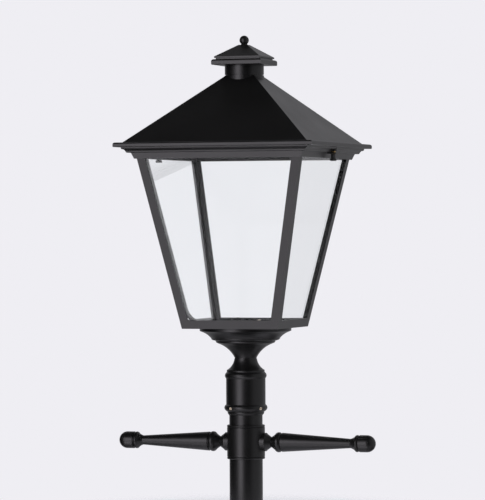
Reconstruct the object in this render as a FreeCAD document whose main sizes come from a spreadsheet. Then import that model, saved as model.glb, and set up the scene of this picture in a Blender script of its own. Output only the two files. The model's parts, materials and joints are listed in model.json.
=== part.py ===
import FreeCAD
import Part
import Sketcher
import math
import os

# Post top lantern on the top section of its post, in millimetres.
# Z points up and the origin is the centre of the post section's lower end.
# The front of the lantern faces -Y and its right side faces +X.

SIZES = {
    # clearances
    "fit_gap": 0.05,
    "seat_gap": 0.2,
    "free_gap": 0.3,
    # post section
    "tube_radius": 30.0,
    "tube_wall": 4.0,
    "spigot_radius": 26.5,
    "spigot_depth": 40.0,
    # cast socket that slips over the post
    "fitter_base": 172.4,
    "fitter_height": 101.6,
    "socket_depth": 74.0,
    "fitter_radius": 35.6,
    "fitter_neck_radius": 20.4,
    "set_screw_radius": 2.75,
    "set_screw_height": 12.6,
    "set_screw_turn": 17.5,
    # tulip shaped dish under the frame
    "dish_height": 56.0,
    "dish_radius": 82.8,
    "dish_neck_radius": 19.9,
    "dish_rim": 5.2,
    # hollow threaded rod that clamps socket, dish and base plate together
    "tie_rod_radius": 8.0,
    "tie_rod_bore": 4.4,
    "tie_rod_nut_width": 24.0,
    "tie_rod_nut_height": 10.0,
    # ladder rest
    "collar_base": 93.3,
    "collar_height": 61.2,
    "collar_radius": 34.2,
    "boss_radius": 16.6,
    "boss_reach": 38.5,
    "bar_reach": 243.3,
    "bar_thick": 17.2,
    "bar_thin": 8.4,
    "bar_end_radius": 15.3,
    "bar_grip": 28.4,
    "bar_neck_out": 9.9,
    "bar_bead_out": 18.2,
    "bar_taper_out": 31.2,
    "bar_knuckle": 8.8,
    "bar_waist": 17.6,
    "bar_groove": 2.4,
    "bar_groove_slope": 0.8,
    "tenon_radius": 6.0,
    "grub_radius": 3.0,
    # glazed frame, a square that widens upwards
    "sill_half": 90.0,
    "head_half": 151.5,
    "glazed_height": 304.0,
    "rail_height": 15.5,
    "rail_wall": 4.0,
    "ledge_width": 14.0,
    "ledge_thick": 2.5,
    "flange_thick": 4.0,
    "front_flange": 15.0,
    "side_flange": 18.0,
    "post_boss": 8.5,
    "post_screw_radius": 1.5,
    "post_screw_depth": 8.0,
    "post_screw_hole": 12.0,
    # fascia at the head of the frame
    "fascia_low_reach": 3.9,
    "fascia_top_reach": 8.2,
    "fascia_height": 10.4,
    "fascia_wall": 2.6,
    "head_plate_rise": 4.5,
    "head_plate_thick": 3.0,
    "head_plate_lap": 8.5,
    "head_lip": 1.6,
    "head_lip_rise": 0.6,
    "fascia_bead": 1.4,
    "fascia_ledge": 3.6,
    # glass
    "glass_thick": 4.0,
    "glass_inset": 9.0,
    "bead_width": 6.0,
    "bead_height": 6.0,
    "bead_length": 96.0,
    "bead_screw_radius": 2.0,
    # base plate, cable and its boot
    "plate_thick": 2.5,
    "plate_boss_radius": 16.0,
    "plate_boss_depth": 20.0,
    "flare_radius": 11.0,
    "flare_shift": 1.9,
    "cable_radius": 4.0,
    "cable_start": 100.0,
    "cable_bend": 15.5,
    "cable_lift": 4.2,
    "cable_sweep": 38.0,
    "cable_corner": 12.8,
    "boot_radius": 12.0,
    "boot_offset": 15.0,
    "boot_height": 14.0,
    "boot_flange": 20.0,
    "plug_radius": 7.0,
    "plug_flange": 8.6,
    "plug_flange_thick": 2.0,
    "plug_spigot": 5.0,
    "cable_top_drop": 4.0,
    # thumb screws that hold the roof down
    "thumb_out": 7.3,
    "knob_radius": 4.0,
    "knob_foot_radius": 5.7,
    "knob_height": 12.4,
    "knob_foot_height": 4.3,
    "knob_floor": 1.5,
    "knob_edge": 0.6,
    "stud_radius": 3.0,
    "stud_top": 11.0,
    "insert_radius": 4.4,
    "insert_wall": 2.4,
    "lug_width": 20.0,
    "lug_thick": 2.5,
    "lug_margin": 2.0,
    # cornice and roof
    "cornice_out": 25.2,
    "cornice_height": 17.9,
    "cornice_wall": 3.0,
    "cornice_nose_wall": 5.0,
    "cornice_boss_rise": 2.2,
    "cornice_boss_drop": 1.0,
    "roof_seat": 9.0,
    "roof_set_back": 13.8,
    "roof_pitch": 0.842,
    "roof_edge": 0.4,
    "roof_wall": 4.0,
    "roof_collar_radius": 35.6,
    "roof_collar_bore": 28.0,
    "roof_collar_rise": 8.0,
    "neck_radius": 35.3,
    "neck_wall": 4.0,
    "neck_groove": 1.8,
    "neck_height": 18.6,
    "cap_half": 47.2,
    "cap_step_half": 43.0,
    "cap_band": 10.0,
    "cap_groove": 2.4,
    "cap_step": 2.6,
    "cap_pitch": 0.6265,
    "cap_top_half": 8.2,
    "ball_radius": 8.5,
    "ball_neck_radius": 5.4,
    "ball_neck_height": 1.9,
    "rod_radius": 4.0,
    "bridge_length": 66.0,
    "bridge_width": 16.0,
    "bridge_thick": 5.0,
    # light unit in the roof
    "tray_lap": 6.0,
    "tray_thick": 2.0,
    "tray_screw_radius": 2.0,
    "lamp_hole": 60.0,
    "lens_drop": 6.4,
    "lens_rim": 2.0,
    "lens_flange": 6.0,
    "lens_wall": 2.0,
    "lens_rounding": 12.0,
    "lens_side_rise": 5.0,
    "board_radius": 54.0,
    "board_thick": 1.6,
    "sink_radius": 58.0,
    "sink_base": 4.0,
    "fin_height": 18.0,
    "fin_thick": 2.0,
    "fin_pitch": 9.0,
    "driver_length": 112.0,
    "driver_width": 40.0,
    "driver_height": 26.0,
    "driver_offset": 98.0,
}


class Dim:
    """A length that knows its value and the spreadsheet formula it comes from."""

    def __init__(self, value, text):
        self.value = value
        self.text = text

    def __add__(self, other):
        other = dim(other)
        return Dim(self.value + other.value, "(%s + %s)" % (self.text, other.text))

    def __sub__(self, other):
        other = dim(other)
        return Dim(self.value - other.value, "(%s - %s)" % (self.text, other.text))

    def __mul__(self, other):
        other = dim(other)
        return Dim(self.value * other.value, "%s * %s" % (self.text, other.text))

    def __truediv__(self, other):
        other = dim(other)
        return Dim(self.value / other.value, "%s / (%s)" % (self.text, other.text))

    def __radd__(self, other):
        return dim(other) + self

    def __rsub__(self, other):
        return dim(other) - self

    def __rmul__(self, other):
        return dim(other) * self

    def __neg__(self):
        return Dim(-self.value, "(0 - %s)" % self.text)


class Sizes:
    """The driving dimensions, one attribute for each."""


def dim(number):
    if isinstance(number, Dim):
        return number
    return Dim(float(number), "%.6g" % number if number >= 0 else "(0 - %.6g)" % -number)


def make_sheet(doc):
    """Write the driving dimensions to the spreadsheet and return them as values."""
    sheet = doc.addObject("Spreadsheet::Sheet", "Sizes")
    sizes = Sizes()
    for row, (name, value) in enumerate(SIZES.items(), start=1):
        sheet.set("A%d" % row, name)
        sheet.set("B%d" % row, str(value))
        sheet.setAlias("B%d" % row, name)
        setattr(sizes, name, Dim(float(value), "Sizes." + name))
    doc.recompute()
    return sizes


doc = FreeCAD.newDocument("lantern")
s = make_sheet(doc)

# Heights and half widths that follow from the driving dimensions.
TUBE_TOP = s.fitter_base + s.socket_depth - s.free_gap
NECK_SEAM = s.fitter_base + s.fitter_height
FRAME_BASE = NECK_SEAM + s.dish_height
RAIL_TOP = FRAME_BASE + s.rail_height
PLATE_BASE = FRAME_BASE + s.ledge_thick
PLATE_TOP = PLATE_BASE + s.plate_thick
FASCIA_BASE = FRAME_BASE + s.glazed_height
HEAD_PLATE_BASE = FASCIA_BASE + s.head_plate_rise
HEAD_PLATE_TOP = HEAD_PLATE_BASE + s.head_plate_thick
FASCIA_TOP = FASCIA_BASE + s.fascia_height
CORNICE_TOP = FASCIA_TOP + s.cornice_height
TRAY_BASE = FASCIA_TOP + s.cornice_wall
TRAY_TOP = TRAY_BASE + s.tray_thick
FASCIA_LOW_HALF = s.head_half + s.fascia_low_reach
FASCIA_TOP_HALF = s.head_half + s.fascia_top_reach
HEAD_PLATE_HALF = s.head_half - s.head_plate_lap
CORNICE_HALF = FASCIA_TOP_HALF + s.cornice_out
ROOF_HALF = CORNICE_HALF - s.roof_set_back
THUMB_REACH = FASCIA_TOP_HALF + s.thumb_out
TRAY_HALF = HEAD_PLATE_HALF + s.tray_lap
BAR_HEIGHT = s.collar_base + s.collar_height * 0.5
SCREW_HEIGHT = s.fitter_base + s.set_screw_height
KNOB_TOP = FASCIA_TOP - s.lug_thick - s.free_gap
KNOB_BASE = KNOB_TOP - s.knob_height
PLUG_TOP = HEAD_PLATE_TOP + s.plug_flange_thick
LENS_TOP = TRAY_TOP + s.lens_rim
LEAN = (s.head_half - s.sill_half) / s.glazed_height


def half_at(height):
    """Half width over the glazed frame's corner posts at a height."""
    return s.sill_half + LEAN * (height - FRAME_BASE)


def roof_height(half):
    """Height of the roof's outer face at a half width."""
    return CORNICE_TOP + s.roof_edge + s.roof_pitch * (ROOF_HALF - half)


COLLAR_TOP = roof_height(s.roof_collar_radius) + s.roof_collar_rise
NECK_TOP = COLLAR_TOP + s.neck_height


def cap_height(half):
    """Height of the cap's upper faces at a half width."""
    step_top = NECK_TOP + s.cap_band + s.cap_groove + s.cap_step
    return step_top + s.cap_pitch * (s.cap_step_half - half)


CAP_TOP = cap_height(s.cap_top_half)
BALL_HEIGHT = CAP_TOP + s.ball_neck_height + s.ball_radius * 0.77
CABLE_LEVEL = PLATE_TOP + s.cable_lift
CABLE_BEND_HEIGHT = FASCIA_BASE - s.cable_top_drop
CABLE_HALF_TOP = half_at(CABLE_BEND_HEIGHT) - s.cable_corner

# An arc that rises by this share of its half chord turns through a right angle.
QUARTER_BEND = math.tan(math.pi / 8)

# Holes are cut from this far outside the material they go through.
OVERCUT = 1.0

# Widths of screw heads, and their thickness, as shares of the shank.
WIDE_HEAD = 1.8
SMALL_HEAD = 1.4
HEAD_THICK = 0.9


# ---------------------------------------------------------------- drawing helpers

def bind(thing, path, length):
    thing.setExpression(path, length.text)


def new_body(label):
    body = doc.addObject("PartDesign::Body", label)
    body.Label = label
    body.AllowCompound = True
    return body


def origin_plane(body, role):
    return [feature for feature in body.Origin.OriginFeatures if feature.Role == role][0]


def new_sketch(body, role, offset=None):
    """A sketch on one of the body's own planes, moved along the plane's normal."""
    sketch = body.newObject("Sketcher::SketchObject", body.Label + "_sketch")
    sketch.AttachmentSupport = [(origin_plane(body, role), "")]
    sketch.MapMode = "FlatFace"
    if offset is not None:
        bind(sketch, "AttachmentOffset.Base.z", dim(offset))
    return sketch


def place(body, height=0, turn=0, across=0, along=0):
    """Turn a finished body about the vertical axis and move it to its place."""
    turned = FreeCAD.Rotation(FreeCAD.Vector(0, 0, 1), 90)
    body.Placement = FreeCAD.Placement(FreeCAD.Vector(0, 0, 0), turned)
    bind(body, "Placement.Rotation.Angle", dim(turn))
    bind(body, "Placement.Base.x", dim(across))
    bind(body, "Placement.Base.y", dim(along))
    bind(body, "Placement.Base.z", dim(height))
    return body


def fix_point(sketch, geo, end, across, up):
    """Pin one end of a line or arc to a place worked out by the spreadsheet."""
    for axis, length in (("DistanceX", across), ("DistanceY", up)):
        number = sketch.addConstraint(Sketcher.Constraint(axis, -1, 1, geo, end, length.value))
        bind(sketch, "Constraints[%d]" % number, length)


def arc_between(first, last, bend):
    """An arc that rises by bend times its half chord, to the right of travel if positive."""
    middle = (first + last) * 0.5
    chord = last - first
    side = FreeCAD.Vector(chord.y, -chord.x, 0)
    return Part.Arc(first, middle + side * (0.5 * bend), last)


def dome_bend(radius, rise):
    """The bend of an outline that closes a round top over the axis."""
    return math.tan(math.atan2(dim(rise).value, dim(radius).value) / 2)


def square_root(length):
    return Dim(math.sqrt(length.value), "sqrt(%s)" % length.text)


def bind_radius(sketch, geo, first, last, bend):
    """Tie an arc's radius to the distance between its ends."""
    wide = last[0] - first[0]
    high = last[1] - first[1]
    chord = square_root(wide * wide + high * high)
    radius = chord * ((1 + bend * bend) / (4 * abs(bend)))
    number = sketch.addConstraint(Sketcher.Constraint("Radius", geo, radius.value))
    bind(sketch, "Constraints[%d]" % number, radius)


def draw_outline(sketch, points):
    """A closed outline. Each point is (across, up) or (across, up, bend to the next)."""
    spots = [(dim(point[0]), dim(point[1])) for point in points]
    for index, point in enumerate(points):
        first = spots[index]
        last = spots[(index + 1) % len(points)]
        start = FreeCAD.Vector(first[0].value, first[1].value, 0)
        finish = FreeCAD.Vector(last[0].value, last[1].value, 0)
        bend = point[2] if len(point) > 2 else 0
        if bend:
            geo = sketch.addGeometry(arc_between(start, finish, bend), False)
        else:
            geo = sketch.addGeometry(Part.LineSegment(start, finish), False)
        near, far = (2, 1) if bend < 0 else (1, 2)
        fix_point(sketch, geo, near, *first)
        fix_point(sketch, geo, far, *last)
        if bend:
            bind_radius(sketch, geo, first, last, bend)


def draw_circle(sketch, across, up, radius):
    centre = FreeCAD.Vector(dim(across).value, dim(up).value, 0)
    geo = sketch.addGeometry(Part.Circle(centre, FreeCAD.Vector(0, 0, 1), dim(radius).value), False)
    fix_point(sketch, geo, 3, dim(across), dim(up))
    number = sketch.addConstraint(Sketcher.Constraint("Radius", geo, dim(radius).value))
    bind(sketch, "Constraints[%d]" % number, dim(radius))


def box_outline(left, right, low, high):
    return [(left, low), (right, low), (right, high), (left, high)]


def volume(body):
    doc.recompute()
    return body.Shape.Volume


def turn_outline(body, points, axis="V_Axis"):
    """Spin an outline drawn in the XZ plane about the vertical or the X axis."""
    sketch = new_sketch(body, "XZ_Plane")
    draw_outline(sketch, points)
    spin = body.newObject("PartDesign::Revolution", body.Label + "_spin")
    spin.Profile = sketch
    spin.ReferenceAxis = (sketch, [axis])
    spin.Angle = 360
    body.Tip = spin
    return spin


def pad_outlines(body, outlines, base, height, circles=()):
    """Raise outlines, and cut round holes, from a height upwards."""
    sketch = new_sketch(body, "XY_Plane", base)
    for points in outlines:
        draw_outline(sketch, points)
    for circle in circles:
        draw_circle(sketch, *circle)
    pad = body.newObject("PartDesign::Pad", body.Label + "_pad")
    pad.Profile = sketch
    bind(pad, "Length", dim(height))
    body.Tip = pad
    return pad


def cut_outlines(body, outlines, base, height, circles=()):
    """Cut outlines or round holes upwards from a height."""
    before = volume(body)
    sketch = new_sketch(body, "XY_Plane", base)
    for points in outlines:
        draw_outline(sketch, points)
    for circle in circles:
        draw_circle(sketch, *circle)
    pocket = body.newObject("PartDesign::Pocket", body.Label + "_pocket")
    pocket.Profile = sketch
    pocket.Reversed = True
    bind(pocket, "Length", dim(height))
    body.Tip = pocket
    if volume(body) > before - 1e-3:
        raise ValueError("nothing was cut from " + body.Label)
    return pocket


def repeat_round(body, feature, count=4, whole=False):
    """Repeat one feature, or the whole shape, evenly about the vertical axis."""
    pattern = body.newObject("PartDesign::PolarPattern", body.Label + "_round")
    pattern.Axis = (origin_plane(body, "Z_Axis"), [""])
    pattern.Angle = 360
    pattern.Occurrences = count
    if whole:
        pattern.TransformMode = "Whole shape"
    else:
        pattern.Originals = [feature]
    body.Tip = pattern
    return pattern


def drill_layer(body, base, thick, circles):
    """Cut round holes right through a layer of some thickness."""
    cut_outlines(body, [], base - OVERCUT, thick + 2 * OVERCUT, circles)


def mitre_square(body, points, reach):
    """Run an outline of (half width, height) round a square with mitred corners."""
    sketch = new_sketch(body, "XZ_Plane")
    draw_outline(sketch, points)
    side = body.newObject("PartDesign::Pad", body.Label + "_side")
    side.Profile = sketch
    side.SideType = "Symmetric"
    bind(side, "Length", reach * 2)
    body.Tip = side
    before = volume(body)
    corners = new_sketch(body, "XY_Plane")
    draw_outline(corners, [(0, 0), (reach * 2, reach * 2), (0, reach * 2)])
    draw_outline(corners, [(0, 0), (0, -reach * 2), (reach * 2, -reach * 2)])
    mitre = body.newObject("PartDesign::Pocket", body.Label + "_mitre")
    mitre.Profile = corners
    mitre.Type = "ThroughAll"
    mitre.SideType = "Symmetric"
    body.Tip = mitre
    after = volume(body)
    if after > before * 0.99:
        raise ValueError("no mitre was cut on " + body.Label)
    pattern = repeat_round(body, mitre, 4, whole=True)
    if volume(body) < after * 3.9:
        raise ValueError("the four sides did not join on " + body.Label)
    return pattern


def loft_between(body, low_points, low, high_points, high):
    """Join two outlines at two heights with flat sides."""
    sketches = []
    for points, height in ((low_points, low), (high_points, high)):
        sketch = new_sketch(body, "XY_Plane", height)
        draw_outline(sketch, points)
        sketches.append(sketch)
    loft = body.newObject("PartDesign::AdditiveLoft", body.Label + "_loft")
    loft.Profile = sketches[0]
    loft.Sections = [sketches[1]]
    loft.Ruled = True
    body.Tip = loft
    return loft


def drill_front(body, radius, across, height, inner, outer, count=1):
    """Drill level holes outwards through the front, then repeat them round the axis."""
    before = volume(body)
    sketch = new_sketch(body, "XZ_Plane", inner)
    draw_circle(sketch, across, height, radius)
    pocket = body.newObject("PartDesign::Pocket", body.Label + "_drill")
    pocket.Profile = sketch
    pocket.Reversed = True
    bind(pocket, "Length", dim(outer) - inner)
    body.Tip = pocket
    if volume(body) > before - 1e-3:
        raise ValueError("no hole was drilled in " + body.Label)
    if count > 1:
        repeat_round(body, pocket, count)
    return pocket


def rod_through(body, radius, height, reach, cut=False):
    """A round bar, or a round hole, along X from one side to the other."""
    sketch = new_sketch(body, "YZ_Plane")
    draw_circle(sketch, 0, height, radius)
    kind = "PartDesign::Pocket" if cut else "PartDesign::Pad"
    feature = body.newObject(kind, body.Label + ("_bore" if cut else "_bar"))
    feature.Profile = sketch
    feature.SideType = "Symmetric"
    bind(feature, "Length", dim(reach) * 2)
    body.Tip = feature
    return feature


def screw_set(label, radius, height, inner, outer, count):
    """Level headless screws pointing at the axis, one in front and the rest round it."""
    body = new_body(label)
    sketch = new_sketch(body, "XZ_Plane", inner)
    draw_circle(sketch, 0, height, radius)
    pad = body.newObject("PartDesign::Pad", label + "_pad")
    pad.Profile = sketch
    bind(pad, "Length", dim(outer) - inner)
    body.Tip = pad
    if count > 1:
        repeat_round(body, pad, count)
    return body


def hexagon(width):
    """Corner points of a hexagon nut from its width across flats."""
    half = dim(width) * 0.5
    corner = half * (2 / math.sqrt(3))
    return [(corner, 0), (corner * 0.5, half), (corner * -0.5, half),
            (-corner, 0), (corner * -0.5, -half), (corner * 0.5, -half)]


# ---------------------------------------------------------------- post section

def post_tube():
    """The post's top length, reamed at its lower end for the spigot of the next one."""
    body = new_body("post_tube")
    bore = s.tube_radius - s.tube_wall
    turn_outline(body, [
        (s.spigot_radius, 0), (s.tube_radius, 0), (s.tube_radius, TUBE_TOP), (bore, TUBE_TOP),
        (bore, s.spigot_depth), (s.spigot_radius, s.spigot_depth)])
    return body


def ladder_collar():
    """A sleeve with two side bosses, held on the post by two grub screws at the back."""
    body = new_body("ladder_collar")
    inner = s.tube_radius + s.fit_gap
    low = s.collar_base
    high = s.collar_base + s.collar_height
    edge = s.collar_radius
    lip = 3.0
    groove = 0.8
    turn_outline(body, [
        (inner, low), (edge - groove, low), (edge, low + groove), (edge, low + lip),
        (edge - groove, low + lip + groove), (edge, low + lip + 2 * groove),
        (edge, high - lip - 2 * groove), (edge - groove, high - lip - groove),
        (edge, high - lip), (edge, high - groove), (edge - groove, high), (inner, high)])
    rod_through(body, s.boss_radius, BAR_HEIGHT, s.boss_reach)
    rod_through(body, s.tenon_radius + s.fit_gap, BAR_HEIGHT, s.boss_reach + 1, cut=True)
    drill_layer(body, low, s.collar_height, [(0, 0, inner)])
    for height in grub_heights():
        drill_front(body, s.grub_radius + s.fit_gap, 0, height, inner - 1, s.collar_radius + 1)
    return place(body, turn=180)


def grub_heights():
    quarter = s.collar_height * 0.25
    return [s.collar_base + quarter, s.collar_base + s.collar_height - quarter]


def collar_grub_screws():
    body = screw_set("collar_grub_screws", s.grub_radius, grub_heights()[0],
                     s.tube_radius + s.fit_gap, s.collar_radius - 0.4, 1)
    sketch = new_sketch(body, "XZ_Plane", s.tube_radius + s.fit_gap)
    draw_circle(sketch, 0, grub_heights()[1], s.grub_radius)
    pad = body.newObject("PartDesign::Pad", "second_grub_screw")
    pad.Profile = sketch
    bind(pad, "Length", s.collar_radius - 0.4 - s.tube_radius - s.fit_gap)
    body.Tip = pad
    return place(body, turn=180)


def ladder_bar(label, turn):
    """A turned bar: tenon, cupped neck, bead, long taper, bead and a rounded grip."""
    body = new_body(label)
    inside = s.tube_radius + s.free_gap
    root = s.boss_reach
    neck = root + s.bar_neck_out
    bead = root + s.bar_bead_out
    taper = root + s.bar_taper_out
    grip = s.bar_reach - s.bar_grip
    knuckle = grip - s.bar_knuckle
    thin = grip - s.bar_waist
    slope = s.bar_groove_slope
    rounding = s.bar_reach - s.bar_end_radius
    bead_foot = s.bar_thick - s.bar_groove
    knuckle_foot = s.bar_end_radius - s.bar_groove
    turn_outline(body, [
        (inside, 0), (s.bar_reach, 0, QUARTER_BEND), (rounding, s.bar_end_radius),
        (grip, s.bar_end_radius), (grip - slope, knuckle_foot),
        (grip - slope * 2, knuckle_foot, 0.66),
        (knuckle, knuckle_foot, -0.1), (thin, s.bar_thin), (taper, s.bar_thick),
        (taper - slope, bead_foot), (taper - slope * 2, bead_foot, 0.58),
        (bead, bead_foot, -0.05),
        (neck, s.bar_thin + 0.7), (root, s.boss_radius - 0.6),
        (root, s.tenon_radius), (inside, s.tenon_radius)], axis="H_Axis")
    return place(body, height=BAR_HEIGHT, turn=turn)


def post_fitter():
    """The cast socket: lower bead with set screws, plain barrel, two beads and a neck."""
    body = new_body("post_fitter")
    inner = s.tube_radius + s.free_gap
    barrel = s.fitter_radius
    low = s.fitter_base
    high = s.fitter_base + s.fitter_height
    shoulder = high - 18.6
    turn_outline(body, [
        (inner, low), (barrel - 4.8, low), (barrel - 4.6, low + 0.8, 0.3), (barrel - 2.6, low + 5.8),
        (barrel + 0.2, low + 7.6), (barrel + 0.7, low + 8.4, 0.53),
        (barrel + 0.7, low + 18.4), (barrel, low + 19.2), (barrel, shoulder - 17.2),
        (barrel + 0.5, shoulder - 16.2, 0.42), (barrel - 0.3, shoulder - 6.6),
        (barrel - 1.6, shoulder - 5.0), (barrel - 1.5, shoulder - 4.4, 0.5),
        (barrel - 3.2, shoulder - 0.8), (barrel - 4.4, shoulder, -0.2),
        (s.fitter_neck_radius, high), (s.tie_rod_radius + s.free_gap, high),
        (s.tie_rod_radius + s.free_gap, s.fitter_base + s.socket_depth),
        (inner, s.fitter_base + s.socket_depth)])
    drill_front(body, s.set_screw_radius + s.fit_gap, 0, SCREW_HEIGHT, inner - 1, barrel + 6, 4)
    return place(body, turn=s.set_screw_turn + 45)


def fitter_set_screws():
    body = screw_set("fitter_set_screws", s.set_screw_radius, SCREW_HEIGHT,
                     s.tube_radius + s.fit_gap, s.fitter_radius + 3.4, 4)
    return place(body, turn=s.set_screw_turn + 45)


def base_dish():
    """The tulip dish: neck, hollow curve, two rings and a wide cupped rim."""
    body = new_body("base_dish")
    bore = s.tie_rod_radius + s.free_gap
    neck = s.dish_neck_radius
    span = s.dish_radius - neck

    def at(out, up, bend=0):
        return (neck + span * out, NECK_SEAM + s.dish_height * up, bend)

    outside = [
        (neck, NECK_SEAM), at(0, 0.036, -0.2), at(0.483, 0.5), at(0.515, 0.518, 0.3),
        at(0.539, 0.575), at(0.571, 0.588), at(0.636, 0.607), at(0.663, 0.629, 0.3),
        at(0.669, 0.657, -0.15), at(0.973, 0.886), at(1, 0.9), (s.dish_radius, FRAME_BASE)]
    inside = [
        (s.dish_radius - s.dish_rim, FRAME_BASE), at(0.917, 0.954), at(0.679, 0.804),
        at(0.567, 0.688), at(0.39, 0.554), at(0.165, 0.402), at(-0.03, 0.205), at(-0.095, 0.116)]
    floor = [(bore, NECK_SEAM + s.dish_height * 0.116), (bore, NECK_SEAM)]
    turn_outline(body, outside + inside + floor)
    return body


def hollow_tie_rod():
    """The threaded tube that clamps socket and dish to the base plate and holds the cable."""
    body = new_body("hollow_tie_rod")
    low = s.fitter_base + s.socket_depth - s.tie_rod_nut_height - 8
    high = PLATE_TOP - s.plate_boss_depth * 0.6
    turn_outline(body, box_outline(s.tie_rod_bore, s.tie_rod_radius, low, high))
    return body


def tie_rod_nut():
    body = new_body("tie_rod_nut")
    low = s.fitter_base + s.socket_depth - s.tie_rod_nut_height - 2
    hole = [(0, 0, s.tie_rod_radius + s.fit_gap)]
    pad_outlines(body, [hexagon(s.tie_rod_nut_width)], low, s.tie_rod_nut_height, hole)
    return body


def tie_rod_washer():
    body = new_body("tie_rod_washer")
    high = s.fitter_base + s.socket_depth
    outer = s.tie_rod_nut_width * 0.5 + 3
    turn_outline(body, box_outline(s.tie_rod_radius + s.fit_gap, outer, high - 2, high))
    return body


# ---------------------------------------------------------------- glazed frame

def rail_ledge_inner():
    return s.sill_half - s.ledge_width


def bottom_frame():
    """The lower rail: a leaning wall and a ledge that the base plate lies on."""
    body = new_body("bottom_frame")
    inner = rail_ledge_inner()
    wall = s.rail_wall
    mitre_square(body, [
        (inner, FRAME_BASE), (s.sill_half, FRAME_BASE), (half_at(RAIL_TOP), RAIL_TOP),
        (half_at(RAIL_TOP) - wall, RAIL_TOP), (half_at(PLATE_BASE) - wall, PLATE_BASE),
        (inner, PLATE_BASE)], s.head_half)
    bead_screw_holes(body, FRAME_BASE, s.ledge_thick)
    return body


def bead_place():
    """Distance from the axis to the middle line of the glazing beads."""
    glass = half_at(PLATE_TOP) - s.flange_thick - s.free_gap - s.glass_thick
    return glass - s.free_gap - s.bead_width * 0.5


def bead_screw_holes(body, base, height):
    reach = bead_place()
    radius = s.bead_screw_radius + s.fit_gap
    holes = [(0, -reach, radius), (reach, 0, radius), (0, reach, radius), (-reach, 0, radius)]
    cut_outlines(body, [], base, height, circles=holes)


def corner_outline(across, along, height):
    """The L section of a corner post at a height, with a small square for its screws."""
    out = half_at(height)
    thick = s.flange_thick
    boss = s.post_boss
    depths = [(0, 0), (s.front_flange, 0), (s.front_flange, thick), (boss, thick), (boss, boss),
              (thick, boss), (thick, s.side_flange), (0, s.side_flange)]
    return [((out - x) * across, (out - y) * along) for x, y in depths]


def corner_post(label, across, along):
    body = new_body(label)
    high = HEAD_PLATE_BASE
    loft_between(body, corner_outline(across, along, RAIL_TOP), RAIL_TOP,
                 corner_outline(across, along, high), high)
    spot = post_screw_spot(across, along)
    cut_outlines(body, [], high - s.post_screw_hole, s.post_screw_hole,
                 circles=[spot + (s.post_screw_radius,)])
    return body


def post_screw_spot(across, along):
    middle = half_at(HEAD_PLATE_BASE) - (s.flange_thick + s.post_boss) * 0.5
    return (middle * across, middle * along)


def fascia_half(height):
    slope = (FASCIA_TOP_HALF - FASCIA_LOW_HALF) / s.fascia_height
    return FASCIA_LOW_HALF + slope * (height - FASCIA_BASE)


def top_frame():
    """The fascia: a leaning wall, a plate that caps posts and glass, and two screw lugs."""
    body = new_body("top_frame")
    wall = s.fascia_wall
    inner = HEAD_PLATE_HALF
    lip = inner - s.head_lip
    lip_base = FASCIA_BASE + s.head_lip_rise
    bead = FASCIA_TOP - s.fascia_bead
    root = FASCIA_TOP_HALF - s.fascia_ledge
    mitre_square(body, [
        (lip, lip_base), (inner, lip_base), (inner, HEAD_PLATE_BASE),
        (fascia_half(HEAD_PLATE_BASE) - wall, HEAD_PLATE_BASE),
        (FASCIA_LOW_HALF - wall, FASCIA_BASE), (FASCIA_LOW_HALF, FASCIA_BASE),
        (fascia_half(bead), bead), (FASCIA_TOP_HALF, FASCIA_TOP), (root, FASCIA_TOP),
        (fascia_half(HEAD_PLATE_TOP) - wall, HEAD_PLATE_TOP),
        (lip, HEAD_PLATE_TOP)], CORNICE_HALF)
    half = s.lug_width * 0.5
    tip = THUMB_REACH + s.knob_foot_radius + s.lug_margin
    lugs = [box_outline(root, tip, -half, half), box_outline(-tip, -root, -half, half)]
    pad_outlines(body, lugs, FASCIA_TOP - s.lug_thick, s.lug_thick)
    reach = THUMB_REACH
    radius = s.stud_radius + s.free_gap
    drill_layer(body, FASCIA_TOP - s.lug_thick, s.lug_thick,
                [(reach, 0, radius), (-reach, 0, radius)])
    holes = [post_screw_spot(x, y) + (s.post_screw_radius + s.fit_gap,)
             for x in (-1, 1) for y in (-1, 1)]
    drill_layer(body, HEAD_PLATE_BASE, s.head_plate_thick, holes)
    cable = -CABLE_HALF_TOP
    drill_layer(body, FASCIA_BASE, s.fascia_height,
                [(cable, cable, s.plug_radius + s.free_gap)])
    return body


def post_screws():
    """Four screws through the head plate into the corner posts."""
    body = new_body("post_screws")
    spots = [post_screw_spot(x, y) for x in (-1, 1) for y in (-1, 1)]
    shanks = [spot + (s.post_screw_radius,) for spot in spots]
    heads = [spot + (s.post_screw_radius * WIDE_HEAD,) for spot in spots]
    depth = s.post_screw_depth
    pad_outlines(body, [], HEAD_PLATE_BASE - depth, s.head_plate_thick + depth, shanks)
    pad_outlines(body, [], HEAD_PLATE_TOP, s.post_screw_radius, heads)
    return body


def glass_pane(label, turn):
    """A clear trapezium that stands on the base plate behind two corner posts."""
    body = new_body(label)
    sections = []
    for height in (PLATE_TOP + s.seat_gap, HEAD_PLATE_BASE - s.seat_gap):
        outer = half_at(height) - s.flange_thick - s.free_gap
        side = half_at(height) - s.glass_inset
        sections.append(box_outline(-side, side, -outer, -outer + s.glass_thick))
        sections.append(height)
    loft_between(body, *sections)
    return place(body, turn=turn)


def glazing_beads():
    """Four bars that keep the foot of each pane against the rail."""
    body = new_body("glazing_beads")
    near = bead_place() - s.bead_width * 0.5
    far = bead_place() + s.bead_width * 0.5
    half = s.bead_length * 0.5
    bar = pad_outlines(body, [box_outline(-half, half, -far, -near)], PLATE_TOP, s.bead_height)
    repeat_round(body, bar)
    bead_screw_holes(body, PLATE_TOP, s.bead_height)
    return body


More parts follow.
